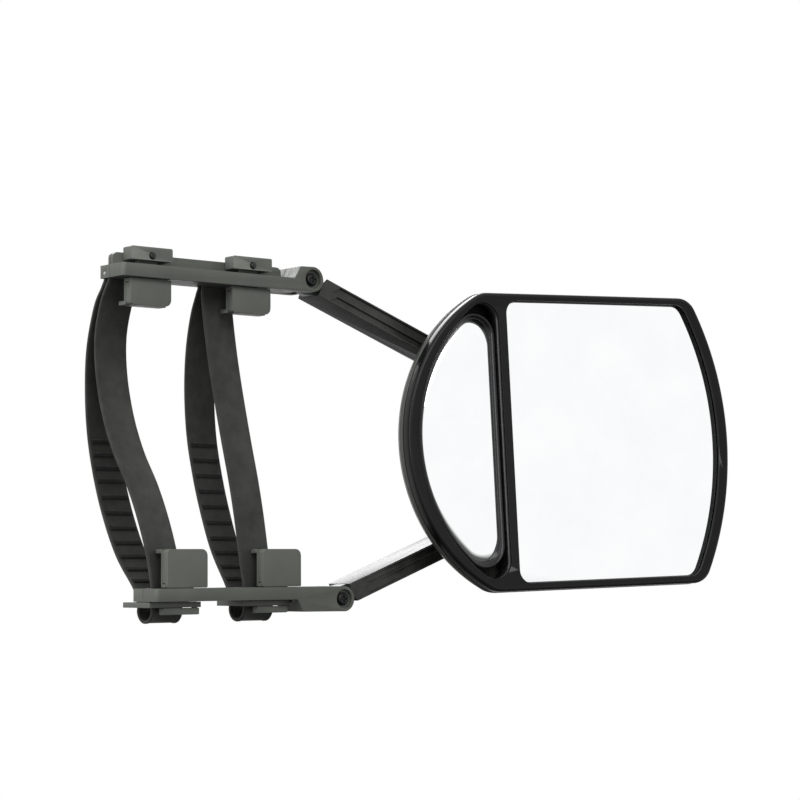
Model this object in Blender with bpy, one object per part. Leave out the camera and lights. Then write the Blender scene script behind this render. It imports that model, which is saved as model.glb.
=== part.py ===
"""Clip-on towing mirror: two clamp trays, rubber straps, two arms, a hub, and a twin-glass head.

Lengths below are millimetres; mesh data is written in metres. +Z is up, glass and screw heads
face -Y, the head lies toward +X. The origin is on the underside of the upper tray.
"""

import math

import bmesh
import bpy
from mathutils import Matrix, Vector

MM = 0.001
ORIGIN = Vector((53.0, 11.0, 83.0))
GAP = 0.3

# Clamp trays
TRAY_DEPTH = 22.0
BAR_IN = 83.0
BAR_OUT = 90.0
PART_Y = 13.0
RIB_TOP = 96.6
RIB_T = 2.2
LOWER_SHIFT = 21.3
PIVOT_X = 127.35
PIVOT_W = 90.1
KNUCKLE_R = 7.1
CLEVIS_X = 118.9
EAR_FRONT = 6.2
EAR_REAR = 16.9
BORE_R = 2.6
SHANK_R = 2.3

# Hook and pad units as centre positions along each tray
UNIT_UPPER = (20.0, 86.6)
UNIT_LOWER = (22.5, 86.0)
PAD_HALF = 13.0
PAD_Y = 3.2
STEM_HALF = 6.0
STEM_Y = (6.2, 9.6)
TRAVEL = 3.0
HOOK_BACK = 9.8

# Straps
STRAP_X = (1.1, 62.1)
STRAP_W = 20.0
STRAP_T = 1.7
STRAP_LEAN = 28.0
PIN_Y = 18.0
PIN_Z = 85.7

# Arms and hub
ARM_TILT = math.radians(20.0)
ARM_LEN = 160.0
ARM_Y = (3.0, 22.5)
ARM_W = (-5.8, 5.4)
HUB_R = 6.4
BALL = Vector((288.35, -9.0, 0.0))
BALL_R = 8.0
CUP_R = 9.45

# Head
HEAD_AT = Vector((292.7, -40.7, 1.9))
HEAD_TURN = (-2.1, -1.55, -10.9)
HALF_H = 87.5
BEZEL_T = 7.4
GLASS_T = 2.0

scene_objects = list(bpy.data.objects)
for old in scene_objects:
    bpy.data.objects.remove(old, do_unlink=True)

parts = bpy.data.collections.new("parts")
cutters = bpy.data.collections.new("cutters")
bpy.context.scene.collection.children.link(parts)
bpy.context.scene.collection.children.link(cutters)
cutters.hide_render = True

ax, ay, az = (math.radians(v) for v in HEAD_TURN)
HEAD_ROT = Matrix.Rotation(az, 4, "Z") @ Matrix.Rotation(ax, 4, "X") @ Matrix.Rotation(ay, 4, "Y")
HEAD = Matrix.Translation(HEAD_AT) @ HEAD_ROT
HOME = Matrix.Identity(4)

COLOURS = {
    "plastic": ((0.045, 0.047, 0.045, 1.0), 0.0, 0.38),
    "gloss": ((0.012, 0.012, 0.013, 1.0), 0.0, 0.16),
    "rubber": ((0.040, 0.041, 0.040, 1.0), 0.0, 0.75),
    "steel": ((0.55, 0.55, 0.56, 1.0), 1.0, 0.30),
    "dark_steel": ((0.05, 0.05, 0.05, 1.0), 1.0, 0.40),
    "mirror": ((0.92, 0.93, 0.94, 1.0), 1.0, 0.03),
}


def finish(name, vertices, faces, look, frame):
    """Makes one object; look None makes a hidden helper."""
    mesh = bpy.data.meshes.new(name)
    placed = [(frame @ Vector(v) - ORIGIN) * MM for v in vertices]
    mesh.from_pydata(placed, [], faces)
    work = bmesh.new()
    work.from_mesh(mesh)
    bmesh.ops.recalc_face_normals(work, faces=work.faces)
    if work.calc_volume(signed=True) < 0:
        bmesh.ops.reverse_faces(work, faces=work.faces)
    work.to_mesh(mesh)
    work.free()
    made = bpy.data.objects.new(name, mesh)
    if look is None:
        cutters.objects.link(made)
        made.hide_render = True
        made.display_type = "WIRE"
        return made
    parts.objects.link(made)
    colour, metallic, roughness = COLOURS[look]
    skin = bpy.data.materials.new(name)
    skin.use_nodes = True
    shader = skin.node_tree.nodes["Principled BSDF"]
    shader.inputs["Base Color"].default_value = colour
    shader.inputs["Metallic"].default_value = metallic
    shader.inputs["Roughness"].default_value = roughness
    mesh.materials.append(skin)
    return made


def loft(name, rings, look=None, frame=HOME, closed=False):
    """Skins equal rings of points; the two ends are capped unless the loft is closed."""
    count = len(rings[0])
    vertices = [point for ring in rings for point in ring]
    faces = []
    steps = len(rings) if closed else len(rings) - 1
    for i in range(steps):
        a = i * count
        b = ((i + 1) % len(rings)) * count
        for j in range(count):
            k = (j + 1) % count
            faces.append((a + j, a + k, b + k, b + j))
    if not closed:
        faces.append(tuple(range(count)))
        faces.append(tuple(range(len(vertices) - count, len(vertices))))
    return finish(name, vertices, faces, look, frame)


def prism(name, outline, axis, low, high, look=None, frame=HOME):
    """Extrudes an outline along X, Y or Z. The outline holds the other two coordinates in order."""
    rings = []
    for at in (low, high):
        if axis == "X":
            rings.append([(at, p, q) for p, q in outline])
        elif axis == "Y":
            rings.append([(p, at, q) for p, q in outline])
        else:
            rings.append([(p, q, at) for p, q in outline])
    return loft(name, rings, look, frame)


def block(name, x, y, z, look=None):
    outline = [(x[0], z[0]), (x[1], z[0]), (x[1], z[1]), (x[0], z[1])]
    return prism(name, outline, "Y", y[0], y[1], look)


def circle(cx, cz, radius, count=18, start=0.0):
    turn = 2.0 * math.pi / count
    steps = [start + turn * i for i in range(count)]
    return [(cx + radius * math.cos(a), cz + radius * math.sin(a)) for a in steps]


def rod(name, axis, centre, radius, low, high, look=None, count=18, frame=HOME):
    return prism(name, circle(*centre, radius, count), axis, low, high, look, frame)


def lathe(name, cx, cz, profile, look=None, frame=HOME, count=24, closed=False):
    """Turns (radius, y) pairs round a line along Y."""
    rings = []
    for radius, y in profile:
        rings.append([(p, y, q) for p, q in circle(cx, cz, radius, count)])
    return loft(name, rings, look, frame, closed)


def arc(cx, cz, radius, first, last, count):
    out = []
    for i in range(count + 1):
        a = math.radians(first + (last - first) * i / count)
        out.append((cx + radius * math.cos(a), cz + radius * math.sin(a)))
    return out


def rounded(x, z, radii, count=4):
    """Rectangle with its own radius at each corner: low-low, high-low, high-high, low-high."""
    corners = ((x[0], z[0], 180), (x[1], z[0], 270), (x[1], z[1], 0), (x[0], z[1], 90))
    out = []
    for (cx, cz, start), radius in zip(corners, radii):
        if radius <= 0:
            out.append((cx, cz))
            continue
        mx = cx + (radius if cx == x[0] else -radius)
        mz = cz + (radius if cz == z[0] else -radius)
        out.extend(arc(mx, mz, radius, start, start + 90, count))
    return out


def boolean(target, tool, kind):
    step = target.modifiers.new(tool.name, "BOOLEAN")
    step.operation = kind
    step.solver = "EXACT"
    step.object = tool


def cut(target, tool):
    boolean(target, tool, "DIFFERENCE")


def join(target, tool):
    boolean(target, tool, "UNION")


def flip(outline, side):
    return [(p, side * q) for p, q in outline]


def span(a, b, side):
    return tuple(sorted((side * a, side * b)))


# ---------------------------------------------------------------- trays


def tray_outline(shift, shoulder):
    """Side view of one tray half, drawn for the upper tray."""
    px = PIVOT_X + shift
    out = [(shift, BAR_IN)]
    out.extend(arc(px, PIVOT_W, KNUCKLE_R, -90.0, 98.0, 20))
    out.append((shift + shoulder + 4.2, PIVOT_W + KNUCKLE_R - 0.3))
    out.append((shift + shoulder, BAR_OUT))
    out.append((shift, BAR_OUT))
    return out


def tray(side, shift, shoulder, units, label):
    outline = flip(tray_outline(shift, shoulder), side)
    px = PIVOT_X + shift
    pz = side * PIVOT_W
    mid = side * 0.5 * (BAR_IN + BAR_OUT)
    front = prism(label + "_tray_front", outline, "Y", 0.0, PART_Y - 0.15, "plastic")
    rear = prism(label + "_tray_rear", outline, "Y", PART_Y + 0.15, TRAY_DEPTH, "plastic")
    whole_z = span(70.0, 110.0, side)
    if side > 0:
        rib = rounded((shift + 0.6, shift + 112.5), (BAR_OUT - 1.0, RIB_TOP), (0, 0, 3, 3))
        join(front, prism("rib_f", rib, "Y", PART_Y - RIB_T, PART_Y - 0.15))
        join(rear, prism("rib_r", rib, "Y", PART_Y + 0.15, PART_Y + RIB_T))
    # The end of the bar has its front upright edge rounded
    nose = [(shift - 1.0, -1.0), (shift + 2.2, -1.0)]
    nose.extend((shift + 2.2 + p, 2.2 + q) for p, q in arc(0, 0, 2.2, -90, -180, 6))
    nose.append((shift - 1.0, 2.2))
    cut(front, prism(label + "_nose", nose, "Z", *whole_z))
    clevis = (CLEVIS_X + shift + 0.13, px + 12.0)
    cut(front, block(label + "_fork_f", clevis, (EAR_FRONT, PART_Y + 1.0), whole_z))
    cut(rear, block(label + "_fork_r", clevis, (PART_Y - 1.0, EAR_REAR), whole_z))
    cut(front, rod(label + "_bore_f", "Y", (px, pz), BORE_R, -1.0, 10.0))
    cut(rear, rod(label + "_bore_r", "Y", (px, pz), BORE_R, 12.0, 24.0))
    cut(front, rod(label + "_dish", "Y", (px, pz), 5.6, -1.0, 2.5))
    nut_hole = circle(px, pz, 4.7, 6)
    cut(rear, prism(label + "_nut_seat", nut_hole, "Y", 19.4, 24.0))
    for number, centre in enumerate(units, 1):
        half = STEM_HALF + TRAVEL + GAP
        where = (shift + centre - half, shift + centre + half)
        slot_y = (STEM_Y[0] - GAP, STEM_Y[1] + GAP)
        cut(front, block(f"{label}_slot_{number}", where, slot_y, whole_z))
    for number, x in enumerate((46.0, 109.5), 1):
        where = (shift + x, mid)
        cut(front, rod(f"{label}_tap_{number}", "Y", where, 1.55, 11.0, 14.0, None, 12))
        cut(rear, rod(f"{label}_thru_{number}", "Y", where, 1.55, 12.0, 23.0, None, 12))
        cut(rear, rod(f"{label}_sink_{number}", "Y", where, 2.9, 20.4, 23.0, None, 14))
        profile = [(1.3, 11.4), (1.3, 20.7), (2.6, 20.7), (2.6, 21.8)]
        lathe(f"{label}_joint_screw_{number}", *where, profile, "steel", HOME, 12)
    screw = [(SHANK_R, 20.9), (SHANK_R, 2.2), (3.7, 2.2), (3.7, 1.2), (2.9, 0.4)]
    pivot = lathe(label + "_pivot_screw", px, pz, screw, "dark_steel", HOME, 18)
    cross(pivot, label + "_cross", px, pz, 0.0)
    nut = prism(label + "_pivot_nut", circle(px, pz, 4.3, 6), "Y", 19.7, 21.7, "steel")
    cut(nut, rod(label + "_nut_bore", "Y", (px, pz), BORE_R, 19.0, 23.0))
    return front, rear


def cross(target, name, px, pz, y):
    """Cross recess in a screw head."""
    for turn in (0, 1):
        half = (2.1, 0.42) if turn else (0.42, 2.1)
        x = (px - half[0], px + half[0])
        z = (pz - half[1], pz + half[1])
        cut(target, block(f"{name}_{turn}", x, (y - 1.0, y + 1.3), z))


upper_front, upper_rear = tray(1, 0.0, 114.3, UNIT_UPPER, "upper")
lower_front, lower_rear = tray(-1, LOWER_SHIFT, 94.3, UNIT_LOWER, "lower")

# ---------------------------------------------------------------- strap seats and straps

for number, x in enumerate(STRAP_X, 1):
    pocket = (x - 0.4, x + STRAP_W + 0.4)
    cut(upper_rear, block(f"pocket_{number}", pocket, (14.7, 21.2), (80.0, 88.6)))
    pin_x = (x - 1.2, x + STRAP_W + 1.3)
    hole = (x - 1.3, x + STRAP_W + 1.4)
    cut(upper_rear, rod(f"pin_hole_{number}", "X", (PIN_Y, PIN_Z), 1.05, *hole, None, 12))
    rod(f"strap_pin_{number}", "X", (PIN_Y, PIN_Z), 0.9, *pin_x, "steel", 16)
    low = x + STRAP_LEAN
    cut(lower_rear, block(f"slit_{number}", (low - 0.5, low + STRAP_W + 0.5), (15.2, 17.8), (-95, -80)))


def smooth(points, per):
    """Catmull-Rom points through an open list."""
    out = []
    for i in range(len(points) - 1):
        p0 = points[max(i - 1, 0)]
        p1 = points[i]
        p2 = points[i + 1]
        p3 = points[min(i + 2, len(points) - 1)]
        for k in range(per):
            t = k / per
            row = []
            for a, b, c, d in zip(p0, p1, p2, p3):
                cubic = (2 * a - 5 * b + 4 * c - d) * t * t + (3 * b - a - 3 * c + d) * t ** 3
                row.append(0.5 * (2 * b + (c - a) * t + cubic))
            out.append(tuple(row))
    out.append(tuple(points[-1]))
    return out


def strap_line(inner, outer):
    """Closed centre line (y, z) of one strap and the index where the ladder starts and ends."""
    radius = 1.2 + STRAP_T / 2
    top = arc(PIN_Y, PIN_Z, radius, 180, 0, 8)
    down = smooth([(PIN_Y + radius, PIN_Z), *outer], 5)[1:]
    low_y = (outer[-1][0], inner[0][0])
    middle = 0.5 * (low_y[0] + low_y[1])
    wide = 0.5 * (low_y[0] - low_y[1])
    turn = []
    for i in range(1, 12):
        a = math.pi * i / 12
        turn.append((middle + wide * math.cos(a), outer[-1][1] - 6.2 * math.sin(a)))
    up = smooth([*inner, (PIN_Y - radius, PIN_Z)], 5)[:-1]
    return top + down + turn + up, len(top), len(top) + len(down)


def strap(name, x, inner, outer):
    line, first, last = strap_line(inner, outer)
    count = len(line)
    travelled = 0.0
    rings = []
    for i, (y, z) in enumerate(line):
        before = line[i - 1]
        after = line[(i + 1) % count]
        along = Vector((after[0] - before[0], after[1] - before[1])).normalized()
        normal = Vector((along[1], -along[0]))
        if i:
            travelled += math.dist(line[i - 1], line[i])
        toothed = first + 4 < i < last - 3 and -84.0 < z < 4.0
        lean = STRAP_LEAN * min(1.0, max(0.0, (80.0 - z) / 163.0))
        half = STRAP_T / 2
        inside = half + (0.9 if toothed and i % 2 else 0.0)
        a = (y + normal[0] * inside, z + normal[1] * inside)
        b = (y - normal[0] * half, z - normal[1] * half)
        x0 = x + lean
        x1 = x0 + STRAP_W
        rings.append([(x0, *a), (x1, *a), (x1, *b), (x0, *b)])
    return loft(name, rings, "rubber", HOME, True)


strap("strap_outboard", STRAP_X[0],
      [(16.5, -95.0), (16.5, -83.0), (16.6, -66.0), (20.0, -46.0), (26.0, -27.0), (35.0, -8.0),
       (40.0, 12.0), (40.5, 34.0), (36.0, 54.0), (26.0, 71.0), (16.8, 81.0)],
      [(20.1, 82.0), (23.0, 78.5), (33.0, 69.0), (46.0, 48.0), (54.0, 24.0), (58.0, 0.0), (57.5, -24.0),
       (53.5, -46.0), (46.0, -66.0), (34.5, -82.0), (30.0, -91.0), (30.0, -95.0)])
strap("strap_inboard", STRAP_X[1],
      [(16.5, -95.0), (16.5, -83.0), (16.2, -66.0), (15.6, -44.0), (16.0, -24.0), (17.4, -4.0),
       (18.6, 18.0), (19.2, 40.0), (18.8, 58.0), (17.8, 72.0), (16.4, 81.0)],
      [(20.1, 82.0), (22.4, 78.5), (30.0, 68.0), (39.0, 50.0), (46.0, 28.0), (50.0, 4.0), (50.0, -18.0),
       (47.5, -40.0), (42.5, -62.0), (34.0, -80.0), (30.0, -90.0), (30.0, -95.0)])

# ---------------------------------------------------------------- hooks, pads, adjusters


def unit(side, x, reach, label):
    """Hook plate with its stem, and the pad in front of it."""
    end = BAR_IN - reach
    hook = [(6.2, 80.7), (8.4, 80.7), (8.4, end), (14.9, end), (14.9, end + 2.2),
            (HOOK_BACK, end + 2.2), (HOOK_BACK, 82.6), (6.2, 82.6)]
    hook = [(p, side * q) for p, q in hook]
    body = prism(label + "_hook", hook, "X", x - PAD_HALF, x + PAD_HALF, "plastic")
    top = 95.6 if side > 0 else 89.7
    stem_x = (x - STEM_HALF, x + STEM_HALF)
    join(body, block(label + "_stem", stem_x, STEM_Y, span(81.2, top, side)))
    lip = rounded((x - PAD_HALF, x + PAD_HALF), (end - 0.1, 82.7), (2.2, 3.6, 0.8, 0.8))
    pad = prism(label + "_pad", flip(lip, side), "Y", PAD_Y, 5.9, "plastic")
    back = rounded((x - PAD_HALF, x + PAD_HALF), (end - 0.1, 80.3), (2.2, 3.6, 0.4, 0.4))
    join(pad, prism(label + "_pad_back", flip(back, side), "Y", 5.5, 8.2))


for number, centre in enumerate(UNIT_UPPER, 1):
    unit(1, centre, 14.6, f"upper_{number}")
    shell = rounded((centre - 13.2, centre + 13.2), (92.4, 99.6), (0.6, 0.6, 0.9, 0.9), 3)
    case = prism(f"adjuster_{number}", shell, "Y", 2.0, 10.2, "plastic")
    seat = (centre - STEM_HALF - GAP, centre + STEM_HALF + GAP)
    cut(case, block(f"seat_{number}", seat, (STEM_Y[0] - GAP, STEM_Y[1] + 0.25), (91.0, 95.9)))
    cut(case, rod(f"well_{number}", "Y", (centre, 94.9), 2.0, 1.0, 5.2, None, 14))
    lathe(f"thumb_latch_{number}", centre, 94.9, [(1.3, 0.7), (1.7, 1.1), (1.7, 3.8)], "gloss", HOME, 14)
for number, centre in enumerate(UNIT_LOWER, 1):
    unit(-1, LOWER_SHIFT + centre, 21.0, f"lower_{number}")

# ---------------------------------------------------------------- lock plates and keepers

for number, (offset, length) in enumerate(((0.0, 34.0), (62.0, 31.9)), 1):
    x = LOWER_SHIFT + offset
    low = STRAP_X[number - 1] + STRAP_LEAN
    mouth = (low - 0.5, low + STRAP_W + 0.5)
    post = x + length - 3.8
    plate_z = (-93.25, -90.35)
    lock = rounded((x, x + length), (7.0, 33.6), (0.8, 0.8, 2.0, 2.0), 4)
    lock = prism(f"lock_plate_{number}", lock, "Z", *plate_z, "plastic")
    tall = (-95.0, -89.0)
    cut(lock, block(f"window_{number}", mouth, (14.6, 21.8), tall))
    cut(lock, block(f"mouth_{number}", mouth, (28.5, 35.0), tall))
    cut(lock, block(f"post_slot_{number}", (post - 0.3, post + 2.5), (8.3, 14.8), tall))
    bar = rounded((x + 10.0, x + length - 0.8), (-97.2, -93.55), (0.8, 0.8, 0.3, 0.3), 3)
    keeper = prism(f"keeper_{number}", bar, "Y", 8.0, 12.2, "plastic")
    join(keeper, block(f"post_{number}", (post, post + 2.2), (8.6, 11.2), (-94.5, -90.25)))

# ---------------------------------------------------------------- arms


def on_arm(side, shift, u, w):
    x = PIVOT_X + shift + u * math.cos(ARM_TILT) + w * math.sin(ARM_TILT)
    z = PIVOT_W - u * math.sin(ARM_TILT) + w * math.cos(ARM_TILT)
    return (x, side * z)


def arm(side, shift, label):
    def shape(points):
        return [on_arm(side, shift, u, w) for u, w in points]

    low, high = ARM_W
    end = arc(ARM_LEN, 0.0, high, 90, -75, 12)
    beam = [(8.7, low), (8.7, 1.5), (11.0, high), *end, (ARM_LEN - 4.0, low)]
    body = prism(label + "_arm", shape(beam), "Y", *ARM_Y, "gloss")
    tongue = [*arc(0.0, 0.0, 6.4, 90, 270, 12), (12.0, -5.2), (12.0, 4.8)]
    join(body, prism(label + "_tongue", shape(tongue), "Y", 6.6, 16.4))
    for number, (bottom, top) in enumerate(((-4.9, -1.3), (-0.5, 4.4)), 1):
        groove = [(17.0, bottom), (148.0, bottom), (148.0, top), (21.5, top)]
        cut(body, prism(f"{label}_groove_{number}", shape(groove), "Y", 0.0, 4.4))
    hollow = [(20.0, low + 2.2), (147.0, low + 2.2), (147.0, high - 2.2), (20.0, high - 2.2)]
    cut(body, prism(label + "_hollow", shape(hollow), "Y", 9.0, 24.0))
    fork = [(151.0, -9.0), (172.0, -9.0), (172.0, 9.0), (151.0, 9.0)]
    cut(body, prism(label + "_fork", shape(fork), "Y", 6.5, 17.5))
    for number, u in enumerate((0.0, ARM_LEN), 1):
        where = on_arm(side, shift, u, 0.0)
        cut(body, rod(f"{label}_arm_bore_{number}", "Y", where, BORE_R, -1.0, 24.0))
    x, z = on_arm(side, shift, ARM_LEN, 0.0)
    cut(body, rod(label + "_arm_dish", "Y", (x, z), 4.3, 0.0, 5.0, None, 18))
    screw = [(SHANK_R, 21.3), (SHANK_R, 4.7), (3.6, 4.7), (3.6, 3.8), (2.9, 3.2)]
    bolt = lathe(label + "_hub_screw", x, z, screw, "dark_steel", HOME, 18)
    cross(bolt, label + "_hub_cross", x, z, 2.8)
    cut(body, prism(label + "_hub_seat", circle(x, z, 4.5, 6), "Y", 19.9, 24.0))
    nut = prism(label + "_hub_nut", circle(x, z, 4.1, 6), "Y", 20.2, 22.2, "steel")
    cut(nut, rod(label + "_hub_nut_bore", "Y", (x, z), BORE_R, 19.0, 23.0))
    return Vector((x, z))


upper_end = arm(1, 0.0, "upper")
lower_end = arm(-1, LOWER_SHIFT, "lower")

# ---------------------------------------------------------------- hub and ball stud

lean = math.degrees(math.atan2(upper_end[1] - lower_end[1], upper_end[0] - lower_end[0]))
link = arc(*upper_end, HUB_R, lean - 90, lean + 90, 10)
link += arc(*lower_end, HUB_R, lean + 90, lean + 270, 10)
hub = prism("hub", link, "Y", 7.0, 17.0, "plastic")
join(hub, rod("hub_boss", "Y", (BALL[0], 0.0), 9.5, 4.0, 17.0, None, 28))
cut(hub, rod("hub_bore_u", "Y", tuple(upper_end), BORE_R, 0.0, 20.0))
cut(hub, rod("hub_bore_l", "Y", tuple(lower_end), BORE_R + 0.5, 0.0, 20.0))
cut(hub, rod("hub_bore_c", "Y", (BALL[0], 0.0), 3.3, 0.0, 20.0))
stud = [(3.0, 21.2), (3.0, 3.7), (6.4, 3.7), (6.4, 2.0), (3.8, 1.2)]
for angle in range(34, 180, 12):
    a = math.radians(angle)
    stud.append((BALL_R * math.sin(a), BALL[1] + BALL_R * math.cos(a)))
lathe("ball_stud", BALL[0], BALL[2], stud, "steel", HOME, 24)
nut = prism("stud_nut", circle(BALL[0], BALL[2], 5.6, 6), "Y", 17.3, 20.8, "steel")
cut(nut, rod("stud_nut_bore", "Y", (BALL[0], BALL[2]), 3.3, 16.0, 22.0))

# ---------------------------------------------------------------- head outlines


def head_outline(inset, top_inset=None):
    """Closed front view of the head, shrunk by the inset."""
    d = inset
    top = HALF_H - (d if top_inset is None else top_inset)
    left_r = 98.0 - d
    right_r = 178.0 - d
    soft_l = max(4.0, 16.0 - d)
    soft_r = max(4.0, 13.0 - d)
    lx = -15.5 - math.sqrt((left_r - soft_l) ** 2 - (top - soft_l) ** 2)
    rx = -65.5 + math.sqrt((right_r - soft_r) ** 2 - (top - soft_r) ** 2)
    la = math.degrees(math.atan2(top - soft_l, -15.5 - lx))
    ra = math.degrees(math.atan2(top - soft_r, rx + 65.5))
    out = arc(-65.5, 0.0, right_r, -ra, ra, 12)
    out += arc(rx, top - soft_r, soft_r, ra, 90, 5)[1:]
    out += arc(lx, top - soft_l, soft_l, 90, 180 - la, 4)
    out += arc(-15.5, 0.0, left_r, 180 - la, 180 + la, 20)[1:]
    out += arc(lx, soft_l - top, soft_l, 180 + la, 270, 4)[1:]
    out += arc(rx, soft_r - top, soft_r, 270, 360 - ra, 5)[:-1]
    return out


def blind_outline(grow):
    """Half-lens front view of the small glass, grown outward."""
    radius = 95.0 + grow
    soft = 12.0 + grow
    right = -52.3 + grow
    cx = -8.0
    fx = right - soft
    fz = math.sqrt((radius - soft) ** 2 - (cx - fx) ** 2)
    turn = math.degrees(math.atan2(fz, cx - fx))
    out = arc(fx, 1.0 + fz, soft, 0, 180 - turn, 9)
    out += arc(cx, 1.0, radius, 180 - turn, 180 + turn, 24)[1:]
    out += arc(fx, 1.0 - fz, soft, 180 + turn, 360, 9)[1:]
    return out


def recess_outline(grow):
    """Mouth of the well round the small glass."""
    radius = 98.2 + grow
    soft = 11.0 + grow
    fx = -49.0 + grow - soft
    cx = -8.0
    fz = math.sqrt((radius - soft) ** 2 - (cx - fx) ** 2)
    turn = math.degrees(math.atan2(fz, cx - fx))
    out = arc(fx, 0.5 + fz, soft, 0, 180 - turn, 9)
    out += arc(cx, 0.5, radius, 180 - turn, 180 + turn, 24)[1:]
    out += arc(fx, 0.5 - fz, soft, 180 + turn, 360, 9)[1:]
    return out


def main_outline(grow):
    """Front view of the large glass window, grown outward."""
    top = 83.3 + grow
    left = -43.6 - grow
    right_r = 171.0 + grow
    soft_r = 9.0 + grow
    soft_l = 8.0 + grow
    rx = -65.5 + math.sqrt((right_r - soft_r) ** 2 - (top - soft_r) ** 2)
    ra = math.degrees(math.atan2(top - soft_r, rx + 65.5))
    out = arc(-65.5, 0.0, right_r, -ra, ra, 12)
    out += arc(rx, top - soft_r, soft_r, ra, 90, 5)[1:]
    out += arc(left + soft_l, top - soft_l, soft_l, 90, 180, 5)
    out += arc(left + soft_l, soft_l - top, soft_l, 180, 270, 5)
    out += arc(rx, soft_r - top, soft_r, 270, 360 - ra, 5)[:-1]
    return out


def ring(outline, y):
    return [(p, y, q) for p, q in outline]


def ball_seat(name, cx, cz, y, radii, angles):
    """Ring with a round inside and a round outside, between a ball and its cup."""
    profile = []
    for radius, (first, last) in ((radii[0], angles), (radii[1], angles[::-1])):
        for i in range(7):
            a = math.radians(first + (last - first) * i / 6)
            profile.append((radius * math.sin(a), y + radius * math.cos(a)))
    return lathe(name, cx, cz, profile, "plastic", HEAD, 24, True)


# ---------------------------------------------------------------- head

outer = [(24.3, 42.0), (24.1, 26.0), (23.2, 16.0), (21.2, 9.0), (18.0, 3.6), (14.0, 0.4),
         (10.0, -0.6), (7.8, -0.4)]
inner = [(7.8, 1.8), (11.0, 1.8), (14.0, 2.6), (17.0, 5.6), (19.4, 10.6), (21.1, 17.0),
         (21.9, 26.6), (22.1, 42.0)]
rings = [ring(head_outline(d), y) for y, d in outer + inner]
housing = loft("housing", rings, "plastic", HEAD)
ball_h = HEAD.inverted() @ BALL
centre = (ball_h[0], ball_h[2])
cut(housing, rod("ball_hole", "Y", centre, 9.3, 15.0, 30.0, None, 24, HEAD))

bezel = loft("bezel", [ring(head_outline(d), y) for y, d in ((0.0, 1.0), (1.0, 0.1), (2.5, -0.2), (BEZEL_T, -0.2))],
             "plastic", HEAD)
cut(bezel, prism("bezel_back", head_outline(1.6), "Y", 2.0, 9.0, None, HEAD))
join(bezel, prism("well_wall", recess_outline(1.0), "Y", 1.2, 10.4, None, HEAD))
cut(bezel, prism("well_mouth", recess_outline(0.0), "Y", -2.0, 12.0, None, HEAD))
cut(bezel, prism("main_window", main_outline(0.0), "Y", -2.0, 4.0, None, HEAD))

prism("main_glass", main_outline(2.1), "Y", 2.3, 2.3 + GLASS_T, "mirror", HEAD)
prism("glass_backing", main_outline(1.9), "Y", 4.6, 6.8, "plastic", HEAD)

carrier = prism("blind_carrier", blind_outline(1.8), "Y", 3.5, 9.4, "gloss", HEAD)
cut(carrier, prism("carrier_dish", blind_outline(0.0), "Y", 2.0, 7.9, None, HEAD))
prism("blind_glass", blind_outline(-0.3), "Y", 5.9, 7.6, "mirror", HEAD)
BLIND = (-77.0, 1.0)
join(carrier, rod("cup_b", "Y", BLIND, 8.0, 9.0, 15.0, None, 24, HEAD))
ball_cut = [(3.2, 8.6)]
for angle in range(135, 60, -15):
    a = math.radians(angle)
    ball_cut.append((5.75 * math.sin(a), 13.4 + 5.75 * math.cos(a)))
ball_cut.append((5.2, 16.5))
cut(carrier, lathe("cup_cut", *BLIND, ball_cut, None, HEAD, 18))
ball_seat("blind_seat", *BLIND, 13.4, (4.7, 5.45), (68, 124))
post = [(8.5, 21.5), (8.5, 20.0), (2.6, 19.0), (2.3, 17.9)]
for angle in range(30, 180, 15):
    a = math.radians(angle)
    post.append((4.5 * math.sin(a), 13.4 + 4.5 * math.cos(a)))
lathe("blind_ball_post", *BLIND, post, "steel", HEAD, 18)

by = ball_h[1]
ball_seat("ball_seat", *centre, by, (8.25, 9.15), (62, 122))
cup = [(16.0, by - 5.9), (16.0, by - 3.9), (12.4, by - 3.9), (10.8, by + 5.2)]
for angle in range(56, 129, 12):
    a = math.radians(angle)
    cup.append((CUP_R * math.sin(a), by + CUP_R * math.cos(a)))
socket = lathe("socket_cup", *centre, cup, "plastic", HEAD, 28, True)
for number, angle in enumerate((90, 210, 330), 1):
    a = math.radians(angle)
    where = (centre[0] + 14.1 * math.cos(a), centre[1] + 14.1 * math.sin(a))
    cut(socket, rod(f"cup_bore_{number}", "Y", where, 1.2, 10.0, 40.0, None, 10, HEAD))
    cut(housing, rod(f"back_bore_{number}", "Y", where, 1.2, 18.0, 30.0, None, 10, HEAD))
    profile = [(1.0, 20.5), (1.0, by - 3.6), (1.5, by - 3.6), (1.5, by - 2.6)]
    lathe(f"cup_screw_{number}", *where, profile, "steel", HEAD, 12)
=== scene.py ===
"""Looks of the clip-on towing mirror.

Frame axes: +X from the clamp to the head, -Y the side of the glass, +Z up. Head pieces are drawn
in the head's own axes (x right, y into the head, z up) in millimetres and then placed.
"""

import math

import bmesh
import bpy
from mathutils import Matrix, Vector


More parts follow.
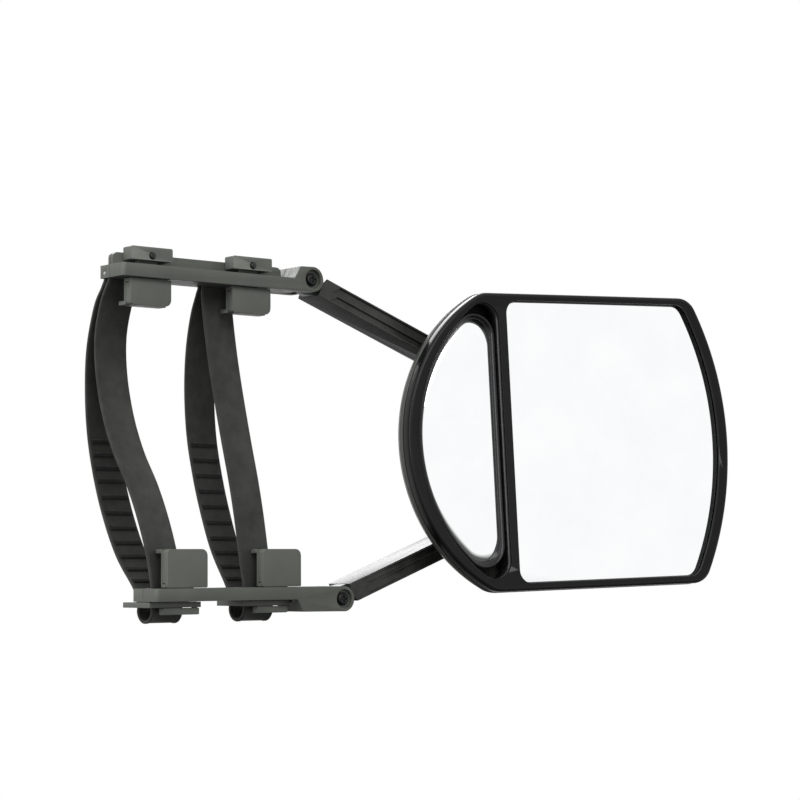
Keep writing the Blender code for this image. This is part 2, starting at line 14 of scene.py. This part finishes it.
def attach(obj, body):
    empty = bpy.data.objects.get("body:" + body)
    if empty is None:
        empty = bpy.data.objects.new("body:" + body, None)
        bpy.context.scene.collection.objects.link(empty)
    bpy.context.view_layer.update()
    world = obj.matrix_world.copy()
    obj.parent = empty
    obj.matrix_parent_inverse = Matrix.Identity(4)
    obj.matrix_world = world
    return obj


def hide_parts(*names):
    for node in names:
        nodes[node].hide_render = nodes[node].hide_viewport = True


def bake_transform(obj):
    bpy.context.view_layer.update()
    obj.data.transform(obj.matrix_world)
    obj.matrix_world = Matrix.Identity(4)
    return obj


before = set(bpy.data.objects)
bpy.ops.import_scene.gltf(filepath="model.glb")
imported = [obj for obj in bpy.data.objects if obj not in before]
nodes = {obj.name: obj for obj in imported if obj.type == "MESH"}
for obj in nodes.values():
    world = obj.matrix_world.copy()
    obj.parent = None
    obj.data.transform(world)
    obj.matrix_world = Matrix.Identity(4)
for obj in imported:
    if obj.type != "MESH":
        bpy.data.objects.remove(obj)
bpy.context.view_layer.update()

MM = 0.001
ORIGIN = Vector((53.0, 11.0, 83.0))

# Head placement
HEAD_AT = Vector((292.7, -40.7, 1.9))
HEAD_TURN = [math.radians(v) for v in (-2.1, -1.55, -10.9)]
HALF_H = 87.5
HEAD = (
    Matrix.Translation(HEAD_AT)
    @ Matrix.Rotation(HEAD_TURN[2], 4, "Z")
    @ Matrix.Rotation(HEAD_TURN[0], 4, "X")
    @ Matrix.Rotation(HEAD_TURN[1], 4, "Y")
)
HOME = Matrix.Identity(4)
BALL = Vector((288.35, -9.0, 0.0))

# Straps
STRAP_X = (1.1, 62.1)
STRAP_W = 20.0
STRAP_T = 1.7
STRAP_LEAN = 28.0
PIN_Y = 18.0
PIN_Z = 85.7
BAR_PITCH = 7.0

# Camera
VIEW_TURN = math.radians(-39.84)
VIEW_RISE = math.radians(-4.12)
VIEW_ROLL = math.radians(-0.39)
VIEW_AT = Vector((190.5, 0.0, 24.3))
VIEW_FAR = 1332.0
LENS = 103.23

# Studio: how strong the paper is for diffuse light, and where it dims toward the floor
DIFFUSE_WORLD = 0.45
DIM_FROM = -0.62
DIM_TO = -0.26
DIM_LEVEL = 0.10

# Bevel widths in metres, and the edge angle in degrees above which an edge is rounded
EDGE = 0.00035
FINE_EDGE = 0.00015
HEAD_EDGE = 0.0005
HEAD_ANGLE = 40.0
BALL_HOLE = 9.3


# ---------------------------------------------------------------- materials


class Graph:
    """Short names for the node types that these materials use."""

    def __init__(self, name):
        self.skin = bpy.data.materials.new(name)
        self.skin.use_nodes = True
        self.nodes = self.skin.node_tree.nodes
        self.links = self.skin.node_tree.links
        self.shader = self.nodes["Principled BSDF"]
        self.place = self.nodes.new("ShaderNodeTexCoord").outputs["Object"]

    def noise(self, scale, detail=4.0, rough=0.55, stretch=None):
        node = self.nodes.new("ShaderNodeTexNoise")
        node.inputs["Scale"].default_value = scale
        node.inputs["Detail"].default_value = detail
        node.inputs["Roughness"].default_value = rough
        source = self.place
        if stretch:
            mapping = self.nodes.new("ShaderNodeMapping")
            mapping.inputs["Scale"].default_value = stretch
            self.links.new(self.place, mapping.inputs["Vector"])
            source = mapping.outputs["Vector"]
        self.links.new(source, node.inputs["Vector"])
        return node.outputs["Fac"]

    def speckle(self, scale):
        node = self.nodes.new("ShaderNodeTexVoronoi")
        node.inputs["Scale"].default_value = scale
        self.links.new(self.place, node.inputs["Vector"])
        return node.outputs["Distance"]

    def ramp(self, value, low, high, low_at=0.3, high_at=0.7):
        node = self.nodes.new("ShaderNodeMapRange")
        node.inputs["From Min"].default_value = low_at
        node.inputs["From Max"].default_value = high_at
        node.inputs["To Min"].default_value = low
        node.inputs["To Max"].default_value = high
        self.links.new(value, node.inputs["Value"])
        return node.outputs["Result"]

    def colours(self, value, low, high, low_at=0.3, high_at=0.7):
        node = self.nodes.new("ShaderNodeValToRGB")
        node.color_ramp.elements[0].position = low_at
        node.color_ramp.elements[0].color = (*low, 1.0)
        node.color_ramp.elements[1].position = high_at
        node.color_ramp.elements[1].color = (*high, 1.0)
        self.links.new(value, node.inputs["Fac"])
        return node.outputs["Color"]

    def mix(self, factor, a, b):
        node = self.nodes.new("ShaderNodeMix")
        node.data_type = "RGBA"
        self.links.new(factor, node.inputs["Factor"])
        for source, socket in ((a, node.inputs[6]), (b, node.inputs[7])):
            if isinstance(source, tuple):
                socket.default_value = (*source, 1.0)
            else:
                self.links.new(source, socket)
        return node.outputs[2]

    def wear_and_highlight_edges(self):
        """1 along outward edges, 0 elsewhere: edge wear plus painted highlight lines."""
        geometry = self.nodes.new("ShaderNodeNewGeometry")
        return self.ramp(geometry.outputs["Pointiness"], 0.0, 1.0, 0.52, 0.60)

    def set(self, name, value):
        if hasattr(value, "is_linked"):
            self.links.new(value, self.shader.inputs[name])
        else:
            self.shader.inputs[name].default_value = value

    def bump(self, *layers):
        """Each layer is (height output, strength, depth in metres)."""
        last = None
        for height, strength, depth in layers:
            node = self.nodes.new("ShaderNodeBump")
            node.inputs["Strength"].default_value = strength
            node.inputs["Distance"].default_value = depth
            self.links.new(height, node.inputs["Height"])
            if last is not None:
                self.links.new(last, node.inputs["Normal"])
            last = node.outputs["Normal"]
        self.links.new(last, self.shader.inputs["Normal"])


def moulded(name, dark, light, rough=(0.34, 0.5), grain=0.35, shine=0.3, highlight_lift=0.01):
    """Satin moulded nylon: fine spark texture, faint flow marks, lighter edges that are part wear from
    handling and part painted highlight.
    """
    g = Graph(name)
    cloud = g.colours(g.noise(55, 5, 0.6), dark, light)
    # Edge colour: lighter from wear, plus a painted highlight line added by the lift
    rubbed_and_highlit = tuple(c * 1.7 + highlight_lift for c in light)
    g.set("Base Color", g.mix(g.wear_and_highlight_edges(), cloud, rubbed_and_highlit))
    g.set("Roughness", g.ramp(g.noise(190, 6, 0.65), *rough))
    g.set("Specular IOR Level", shine)
    g.bump((g.noise(2600, 2, 0.5), grain, 0.00006), (g.noise(90, 3, 0.5), 0.12, 0.0003))
    return g.skin


def polished(name, colour, rough):
    """Gloss moulding with soft sink marks and hairline scuffs."""
    g = Graph(name)
    lighter = tuple(c * 2.4 + 0.004 for c in colour)
    g.set("Base Color", g.colours(g.noise(80, 5, 0.6), colour, lighter))
    g.set("Roughness", g.ramp(g.noise(260, 7, 0.7, (1.0, 5.0, 1.0)), rough, rough + 0.14))
    g.set("Specular IOR Level", 0.3)
    g.bump((g.noise(48, 2, 0.4), 0.16, 0.0006), (g.noise(1500, 3, 0.6), 0.08, 0.00004))
    return g.skin


def rubber(name, dark=(0.030, 0.031, 0.028), light=(0.056, 0.058, 0.052)):
    """Matt moulded rubber, mottled and slightly dusty."""
    g = Graph(name)
    base = g.colours(g.noise(85, 6, 0.65), dark, light)
    dust = g.ramp(g.noise(420, 8, 0.75), 0.0, 0.5, 0.56, 0.78)
    g.set("Base Color", g.mix(dust, base, (0.08, 0.082, 0.077)))
    g.set("Roughness", g.ramp(g.noise(150, 5, 0.6), 0.52, 0.8))
    g.set("Specular IOR Level", 0.25)
    g.set("Sheen Weight", 0.15)
    g.bump((g.noise(3200, 3, 0.6), 0.5, 0.00008), (g.speckle(900), 0.12, 0.0001))
    return g.skin


def metal(name, colour, rough):
    """Plated fastener with turning marks and stains."""
    g = Graph(name)
    stain = tuple(c * 0.55 for c in colour)
    g.set("Base Color", g.colours(g.noise(700, 6, 0.7), stain, colour, 0.25, 0.6))
    g.set("Metallic", 1.0)
    g.set("Roughness", g.ramp(g.noise(900, 5, 0.6), rough, rough + 0.2))
    g.bump((g.noise(2400, 3, 0.6, (1.0, 8.0, 1.0)), 0.2, 0.00005))
    return g.skin


def silvered(name):
    """Mirror glass with a trace of film and dust."""
    g = Graph(name)
    g.set("Base Color", g.colours(g.noise(30, 4, 0.6), (0.93, 0.94, 0.95), (0.97, 0.975, 0.98)))
    g.set("Metallic", 1.0)
    g.set("Roughness", g.ramp(g.noise(700, 8, 0.8), 0.015, 0.06, 0.5, 0.8))
    g.set("Coat Weight", 0.4)
    g.bump((g.noise(9, 2, 0.4), 0.02, 0.0004))
    return g.skin


PLASTIC = moulded("tray_plastic", (0.086, 0.092, 0.080), (0.106, 0.112, 0.098))
CAP = moulded("pad_plastic", (0.104, 0.111, 0.097), (0.122, 0.129, 0.113), (0.42, 0.58))
# The last figure for the housing and the bezel lifts their edges into painted highlight lines
SHELL = moulded("housing_plastic", (0.048, 0.051, 0.046), (0.066, 0.070, 0.062), (0.26, 0.4), 0.2, 0.35, 0.05)
BEZEL = moulded(
    "bezel_plastic", (0.0035, 0.0036, 0.0034), (0.006, 0.0062, 0.0058), (0.20, 0.30), 0.15, 0.16, 0.11
)
GLOSS = polished("gloss_black", (0.008, 0.008, 0.009), 0.10)
ARM = polished("arm_black", (0.018, 0.019, 0.017), 0.20)
RUBBER = rubber("strap_rubber")
DARK_RUBBER = rubber("ladder_rubber", (0.004, 0.004, 0.004), (0.008, 0.008, 0.008))
STEEL = metal("zinc_steel", (0.56, 0.56, 0.57), 0.28)
BLACK_STEEL = metal("black_steel", (0.030, 0.030, 0.030), 0.30)
SILVER = silvered("mirror_silver")


def skin_of(name):
    if name in ("main_glass", "blind_glass"):
        return SILVER
    if name.endswith("_arm"):
        return ARM
    if name.startswith("thumb_latch") or name == "blind_carrier":
        return GLOSS
    if name.endswith(("pivot_screw", "hub_screw")):
        return BLACK_STEEL
    if "screw" in name or "nut" in name or "pin_" in name or "ball" in name:
        return STEEL
    if name.endswith("_pad") or name.startswith("adjuster"):
        return CAP
    if name in ("housing", "socket_cup"):
        return SHELL
    if name == "bezel":
        return BEZEL
    return PLASTIC


def soften(obj, width, segments=3, angle=28.0):
    """Rounds the edges and keeps flat faces flat under smooth shading."""
    for face in obj.data.polygons:
        face.use_smooth = True
    weld = obj.modifiers.new("weld", "WELD")
    weld.merge_threshold = 0.00002
    bevel = obj.modifiers.new("edges", "BEVEL")
    bevel.width = width
    bevel.segments = segments
    bevel.limit_method = "ANGLE"
    bevel.angle_limit = math.radians(angle)
    bevel.harden_normals = True
    bevel.use_clamp_overlap = True
    bevel.miter_outer = "MITER_ARC"


EDGES = {"upper_arm": 0.0006, "lower_arm": 0.0006, "hub": 0.0008}
SMALL = ("screw", "nut", "pin_", "latch", "ball")
for name, node in nodes.items():
    node.data.materials.clear()
    node.data.materials.append(skin_of(name))
    small = any(word in name for word in SMALL)
    soften(node, FINE_EDGE if small else EDGES.get(name, EDGE), 2 if small else 3)


# ---------------------------------------------------------------- mesh helpers


def finish(name, vertices, faces, skin, place=HOME):
    mesh = bpy.data.meshes.new(name)
    mesh.from_pydata([(place @ Vector(v) - ORIGIN) * MM for v in vertices], [], faces)
    work = bmesh.new()
    work.from_mesh(mesh)
    bmesh.ops.recalc_face_normals(work, faces=work.faces)
    if work.calc_volume(signed=True) < 0:
        bmesh.ops.reverse_faces(work, faces=work.faces)
    for face in work.faces:
        face.smooth = True
    work.to_mesh(mesh)
    work.free()
    made = bpy.data.objects.new(name, mesh)
    bpy.context.scene.collection.objects.link(made)
    if skin is not None:
        mesh.materials.append(skin)
    return made


def loft(name, rings, skin=None, place=HOME, closed=False):
    count = len(rings[0])
    vertices = [point for ring in rings for point in ring]
    faces = []
    steps = len(rings) if closed else len(rings) - 1
    for i in range(steps):
        a = i * count
        b = ((i + 1) % len(rings)) * count
        for j in range(count):
            k = (j + 1) % count
            faces.append((a + j, a + k, b + k, b + j))
    if not closed:
        faces.append(tuple(range(count)))
        faces.append(tuple(range(len(vertices) - count, len(vertices))))
    return finish(name, vertices, faces, skin, place)


def ring(outline, y):
    return [(p, y, q) for p, q in outline]


def plug(name, outline, low, high, skin=None, place=HEAD):
    return loft(name, [ring(outline, low), ring(outline, high)], skin, place)


def arc(cx, cz, radius, first, last, count):
    out = []
    for i in range(count + 1):
        a = math.radians(first + (last - first) * i / count)
        out.append((cx + radius * math.cos(a), cz + radius * math.sin(a)))
    return out


def carve(target, tool, kind="DIFFERENCE"):
    """Applies one Boolean and removes its tool."""
    step = target.modifiers.new(tool.name, "BOOLEAN")
    step.operation = kind
    step.solver = "EXACT"
    step.object = tool
    bpy.context.view_layer.update()
    graph = bpy.context.evaluated_depsgraph_get()
    solid = bpy.data.meshes.new_from_object(target.evaluated_get(graph))
    target.modifiers.clear()
    target.data = solid
    bpy.data.objects.remove(tool, do_unlink=True)


# ---------------------------------------------------------------- head outlines


def head_outline(inset):
    top = HALF_H - inset
    left_r = 98.0 - inset
    right_r = 178.0 - inset
    soft_l = max(4.0, 16.0 - inset)
    soft_r = max(4.0, 13.0 - inset)
    lx = -15.5 - math.sqrt((left_r - soft_l) ** 2 - (top - soft_l) ** 2)
    rx = -65.5 + math.sqrt((right_r - soft_r) ** 2 - (top - soft_r) ** 2)
    la = math.degrees(math.atan2(top - soft_l, -15.5 - lx))
    ra = math.degrees(math.atan2(top - soft_r, rx + 65.5))
    out = arc(-65.5, 0.0, right_r, -ra, ra, 40)
    out += arc(rx, top - soft_r, soft_r, ra, 90, 12)[1:]
    out += arc(lx, top - soft_l, soft_l, 90, 180 - la, 10)
    out += arc(-15.5, 0.0, left_r, 180 - la, 180 + la, 72)[1:]
    out += arc(lx, soft_l - top, soft_l, 180 + la, 270, 10)[1:]
    out += arc(rx, soft_r - top, soft_r, 270, 360 - ra, 12)[:-1]
    return out


def lens_outline(radius, soft, right, mid):
    """Half-lens: a big arc on the left, a straight right side, two soft tips."""
    cx = -8.0
    fx = right - soft
    fz = math.sqrt((radius - soft) ** 2 - (cx - fx) ** 2)
    turn = math.degrees(math.atan2(fz, cx - fx))
    out = arc(fx, mid + fz, soft, 0, 180 - turn, 22)
    out += arc(cx, mid, radius, 180 - turn, 180 + turn, 72)[1:]
    out += arc(fx, mid - fz, soft, 180 + turn, 360, 22)[1:]
    return out


def blind_outline(grow):
    return lens_outline(95.0 + grow, 12.0 + grow, -52.3 + grow, 1.0)


def recess_outline(grow):
    return lens_outline(98.2 + grow, 11.0 + grow, -49.0 + grow, 0.5)


def main_outline(grow):
    top = 83.3 + grow
    left = -43.6 - grow
    right_r = 171.0 + grow
    soft_r = 9.0 + grow
    soft_l = 8.0 + grow
    rx = -65.5 + math.sqrt((right_r - soft_r) ** 2 - (top - soft_r) ** 2)
    ra = math.degrees(math.atan2(top - soft_r, rx + 65.5))
    out = arc(-65.5, 0.0, right_r, -ra, ra, 44)
    out += arc(rx, top - soft_r, soft_r, ra, 90, 12)[1:]
    out += arc(left + soft_l, top - soft_l, soft_l, 90, 180, 12)
    out += arc(left + soft_l, soft_l - top, soft_l, 180, 270, 12)
    out += arc(rx, soft_r - top, soft_r, 270, 360 - ra, 12)[:-1]
    return out


# ---------------------------------------------------------------- head pieces


def lofted_shell():
    """Back housing with a rolled rim, a faint styling step and a flat pad for the ball joint."""
    outer = [(24.3, 42.0), (24.28, 33.0), (24.1, 26.0), (23.75, 20.5), (23.2, 16.0), (22.3, 12.2),
             (21.2, 9.0), (19.8, 6.1), (18.0, 3.6), (16.1, 1.7), (14.0, 0.4), (12.0, -0.3),
             (10.4, -0.55), (10.1, -0.3), (9.7, -0.3), (9.4, -0.6), (8.3, -0.5), (7.9, -0.1)]
    inner = [(7.8, 1.4), (8.4, 1.8), (11.0, 1.8), (14.0, 2.6), (17.0, 5.6), (19.4, 10.6),
             (21.1, 17.0), (21.9, 26.6), (22.1, 42.0)]
    rings = [ring(head_outline(d), y) for y, d in outer + inner]
    return loft("housing_shell", rings, SHELL, HEAD)


def bezel_frame():
    """Front frame: crowned rim, well for the small glass, stepped lip round the large glass."""
    rim = [(0.35, 3.2), (0.0, 2.4), (0.0, 1.5), (0.15, 1.0), (0.45, 0.55), (0.9, 0.2), (1.5, 0.0),
           (2.5, -0.2), (6.2, -0.2), (6.5, 0.1), (6.9, 0.1), (7.4, -0.1)]
    body = loft("bezel_frame", [ring(head_outline(d), y) for y, d in rim], BEZEL, HEAD)
    carve(body, plug("back", head_outline(1.6), 2.0, 9.0))
    carve(body, plug("wall", recess_outline(1.0), 1.2, 10.4), "UNION")
    carve(body, plug("well", recess_outline(0.0), -2.0, 12.0))
    carve(body, plug("window", main_outline(0.0), -2.0, 4.0))
    return body


housing = lofted_shell()
ball_at = HEAD.inverted() @ BALL
hole = arc(ball_at[0], ball_at[2], BALL_HOLE, 0, 350, 35)
carve(housing, plug("hole", hole, 15.0, 30.0))
soften(housing, HEAD_EDGE, 3, HEAD_ANGLE)
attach(housing, "head")
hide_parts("housing")

bezel = bezel_frame()
soften(bezel, HEAD_EDGE, 4, HEAD_ANGLE)
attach(bezel, "head")
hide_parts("bezel")

# The large glass has a ground edge, held under the lip
pane_edge = ((4.3, 2.0), (4.2, 2.1), (3.1, 2.1), (2.35, 1.2), (2.3, 1.1))
glass = loft("main_glass_pane", [ring(main_outline(d), y) for y, d in pane_edge], SILVER, HEAD)
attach(glass, "head")
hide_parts("main_glass")

# Lining of the well behind the small glass, dark and glossy
liner_edge = ((1.2, -0.05), (1.2, -0.45), (10.3, -0.45), (10.3, -0.05))
liner = loft("well_liner", [ring(recess_outline(d), y) for y, d in liner_edge], GLOSS, HEAD, True)
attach(liner, "head")


def small_mirror():
    """Carrier with a rolled rim and a step, and the convex pane that sits in it."""
    rim = [(9.4, 1.6), (9.0, 1.8), (4.6, 1.8), (4.0, 1.6), (3.6, 1.1), (3.5, 0.7), (3.6, 0.3),
           (3.9, -0.1), (4.7, -0.3), (4.9, -0.9), (5.3, -1.2), (7.9, -1.2)]
    rings = [ring(blind_outline(d), y) for y, d in rim]
    body = loft("carrier_rim", rings, GLOSS, HEAD)
    steps = 9
    rings = [ring(blind_outline(-0.3), 7.6)]
    for i in range(steps):
        share = i / steps
        rings.append([
            (-76.0 + (p + 76.0) * (1.0 - share), 5.9 - 1.3 * (1.0 - (1.0 - share) ** 2), q * (1.0 - share))
            for p, q in blind_outline(-0.3)
        ])
    pane = loft("convex_pane", rings, SILVER, HEAD)
    return body, pane


carrier, pane = small_mirror()
for piece, node, slot in ((carrier, "blind_carrier", "gloss"), (pane, "blind_glass", "mirror")):
    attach(piece, "blind_mirror")
    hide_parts(node)


# ---------------------------------------------------------------- straps


def smooth(points, per):
    out = []
    for i in range(len(points) - 1):
        p0 = points[max(i - 1, 0)]
        p1 = points[i]
        p2 = points[i + 1]
        p3 = points[min(i + 2, len(points) - 1)]
        for k in range(per):
            t = k / per
            row = []
            for a, b, c, d in zip(p0, p1, p2, p3):
                cubic = (2 * a - 5 * b + 4 * c - d) * t * t + (3 * b - a - 3 * c + d) * t ** 3
                row.append(0.5 * (2 * b + (c - a) * t + cubic))
            out.append(tuple(row))
    out.append(tuple(points[-1]))
    return out


def strap_line(inner, outer):
    radius = 1.2 + STRAP_T / 2
    top = arc(PIN_Y, PIN_Z, radius, 180, 0, 14)
    down = smooth([(PIN_Y + radius, PIN_Z), *outer], 10)[1:]
    middle = 0.5 * (outer[-1][0] + inner[0][0])
    wide = 0.5 * (outer[-1][0] - inner[0][0])
    turn = []
    for i in range(1, 24):
        a = math.pi * i / 24
        turn.append((middle + wide * math.cos(a), outer[-1][1] - 6.2 * math.sin(a)))
    up = smooth([*inner, (PIN_Y - radius, PIN_Z)], 10)[:-1]
    return top + down + turn + up, len(top), len(top) + len(down)


def strap_frame(line, i):
    y, z = line[i]
    before = line[i - 1]
    after = line[(i + 1) % len(line)]
    along = Vector((after[0] - before[0], after[1] - before[1])).normalized()
    return Vector((y, z)), Vector((along[1], -along[0])), along


def lean_at(z):
    return STRAP_LEAN * min(1.0, max(0.0, (80.0 - z) / 163.0))


def strap(name, x, inner, outer):
    """Rubber band with beaded long edges, and moulded ladder bars on the inner face."""
    line, first, last = strap_line(inner, outer)
    half = STRAP_T / 2
    bead = 0.28
    rings = []
    for i in range(len(line)):
        at, normal, _ = strap_frame(line, i)
        x0 = x + lean_at(at[1])
        x1 = x0 + STRAP_W
        shape = (
            (0.0, 0.35), (0.35, 0.0), (1.5, 0.0), (1.9, bead),
            (STRAP_W - 1.9, bead), (STRAP_W - 1.5, 0.0), (STRAP_W - 0.35, 0.0), (STRAP_W, 0.35),
        )
        section = []
        for across, sunk in shape:
            p = at + normal * (half - sunk)
            section.append((x0 + across, p[0], p[1]))
        for across, sunk in reversed(shape):
            p = at - normal * (half - sunk)
            section.append((x0 + across, p[0], p[1]))
        rings.append(section)
    band = loft(name, rings, RUBBER, HOME, True)
    verts = []
    faces = []
    gone = 0.0
    due = 0.0
    for i in range(first + 1, last):
        gone += math.dist(line[i - 1], line[i])
        at, normal, along = strap_frame(line, i)
        if not -82.0 < at[1] < -2.0 or gone < due:
            continue
        due = gone + BAR_PITCH
        x0 = x + lean_at(at[1]) + 1.7
        x1 = x0 + STRAP_W - 3.4
        base = len(verts)
        for deep, wide in ((half - 0.5, 1.5), (half + 0.55, 1.15), (half + 0.8, 0.7)):
            for edge, side in ((x0, 1), (x1, 1), (x1, -1), (x0, -1)):
                p = at + normal * deep + along * wide * side
                verts.append((edge, p[0], p[1]))
        for level in (0, 4):
            for j in range(4):
                k = (j + 1) % 4
                faces.append((base + level + j, base + level + k, base + level + 4 + k, base + level + 4 + j))
        faces.append((base, base + 1, base + 2, base + 3))
        faces.append((base + 8, base + 9, base + 10, base + 11))
    bars = finish(name + "_ladder", verts, faces, DARK_RUBBER)
    for face in bars.data.polygons:
        face.use_smooth = False
    return band, bars


STRAPS = (
    ("strap_outboard", "outer_strap", STRAP_X[0],
     [(16.5, -95.0), (16.5, -83.0), (16.6, -66.0), (20.0, -46.0), (26.0, -27.0), (35.0, -8.0),
      (40.0, 12.0), (40.5, 34.0), (36.0, 54.0), (26.0, 71.0), (16.8, 81.0)],
     [(20.1, 82.0), (23.0, 78.5), (33.0, 69.0), (46.0, 48.0), (54.0, 24.0), (58.0, 0.0), (57.5, -24.0),
      (53.5, -46.0), (46.0, -66.0), (34.5, -82.0), (30.0, -91.0), (30.0, -95.0)]),
    ("strap_inboard", "inner_strap", STRAP_X[1],
     [(16.5, -95.0), (16.5, -83.0), (16.2, -66.0), (15.6, -44.0), (16.0, -24.0), (17.4, -4.0),
      (18.6, 18.0), (19.2, 40.0), (18.8, 58.0), (17.8, 72.0), (16.4, 81.0)],
     [(20.1, 82.0), (22.4, 78.5), (30.0, 68.0), (39.0, 50.0), (46.0, 28.0), (50.0, 4.0), (50.0, -18.0),
      (47.5, -40.0), (42.5, -62.0), (34.0, -80.0), (30.0, -90.0), (30.0, -95.0)]),
)
for node, name, x, inner, outer in STRAPS:
    band, bars = strap(name, x, inner, outer)
    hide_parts(node)
    for piece in (band, bars):
        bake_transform(piece)

# ---------------------------------------------------------------- stage

world = bpy.data.worlds.new("studio")
bpy.context.scene.world = world
world.use_nodes = True
world_nodes = world.node_tree.nodes
world_links = world.node_tree.links


def world_math(kind, a, b):
    node = world_nodes.new("ShaderNodeMath")
    node.operation = kind
    for source, socket in ((a, node.inputs[0]), (b, node.inputs[1])):
        if hasattr(source, "is_linked"):
            world_links.new(source, socket)
        else:
            socket.default_value = source
    return node.outputs[0]


# White paper all round, dim from below, and weaker for diffuse light than for reflections
direction = world_nodes.new("ShaderNodeSeparateXYZ")
world_links.new(world_nodes.new("ShaderNodeTexCoord").outputs["Generated"], direction.inputs[0])
height = world_nodes.new("ShaderNodeMapRange")
height.inputs["From Min"].default_value = DIM_FROM
height.inputs["From Max"].default_value = DIM_TO
height.inputs["To Min"].default_value = DIM_LEVEL
height.inputs["To Max"].default_value = 1.0
world_links.new(direction.outputs["Z"], height.inputs["Value"])
path = world_nodes.new("ShaderNodeLightPath")
share = world_math("MAXIMUM", path.outputs["Is Glossy Ray"], DIFFUSE_WORLD)
surround = world_math("MULTIPLY", height.outputs[0], share)
strength = world_math("MAXIMUM", path.outputs["Is Camera Ray"], surround)
world_nodes["Background"].inputs["Color"].default_value = (1.0, 1.0, 1.0, 1.0)
world_links.new(strength, world_nodes["Background"].inputs["Strength"])


def panel(name, place, aim, size, power):
    data = bpy.data.lights.new(name, "AREA")
    data.shape = "RECTANGLE"
    data.size = size[0]
    data.size_y = size[1]
    data.energy = power
    lamp = bpy.data.objects.new(name, data)
    lamp.location = place
    lamp.rotation_euler = (Vector(aim) - Vector(place)).to_track_quat("-Z", "Y").to_euler()
    bpy.context.scene.collection.objects.link(lamp)


panel("key", (-0.5, -1.4, 0.9), (0.15, 0, -0.08), (1.2, 0.8), 14)
panel("side", (-1.2, -0.1, 0.3), (0.1, 0, -0.08), (0.5, 1.2), 7)
panel("back", (0.5, 1.2, 0.8), (0.15, 0, -0.08), (1.0, 0.6), 10)

bpy.context.scene.view_settings.view_transform = "Standard"

back = Vector((math.sin(VIEW_TURN) * math.cos(VIEW_RISE), -math.cos(VIEW_TURN) * math.cos(VIEW_RISE),
               math.sin(VIEW_RISE)))
right = Vector((math.cos(VIEW_TURN), math.sin(VIEW_TURN), 0.0))
upward = back.cross(right)
turned_right = math.cos(VIEW_ROLL) * right + math.sin(VIEW_ROLL) * upward
turned_up = math.cos(VIEW_ROLL) * upward - math.sin(VIEW_ROLL) * right
camera_data = bpy.data.cameras.new("camera")
camera_data.lens = LENS
camera_data.sensor_width = 36.0
camera_data.clip_end = 100.0
camera = bpy.data.objects.new("camera", camera_data)
facing = Matrix((turned_right, turned_up, back)).transposed().to_4x4()
camera.matrix_world = Matrix.Translation((VIEW_AT + back * VIEW_FAR - ORIGIN) * MM) @ facing
bpy.context.scene.collection.objects.link(camera)
bpy.context.scene.camera = camera
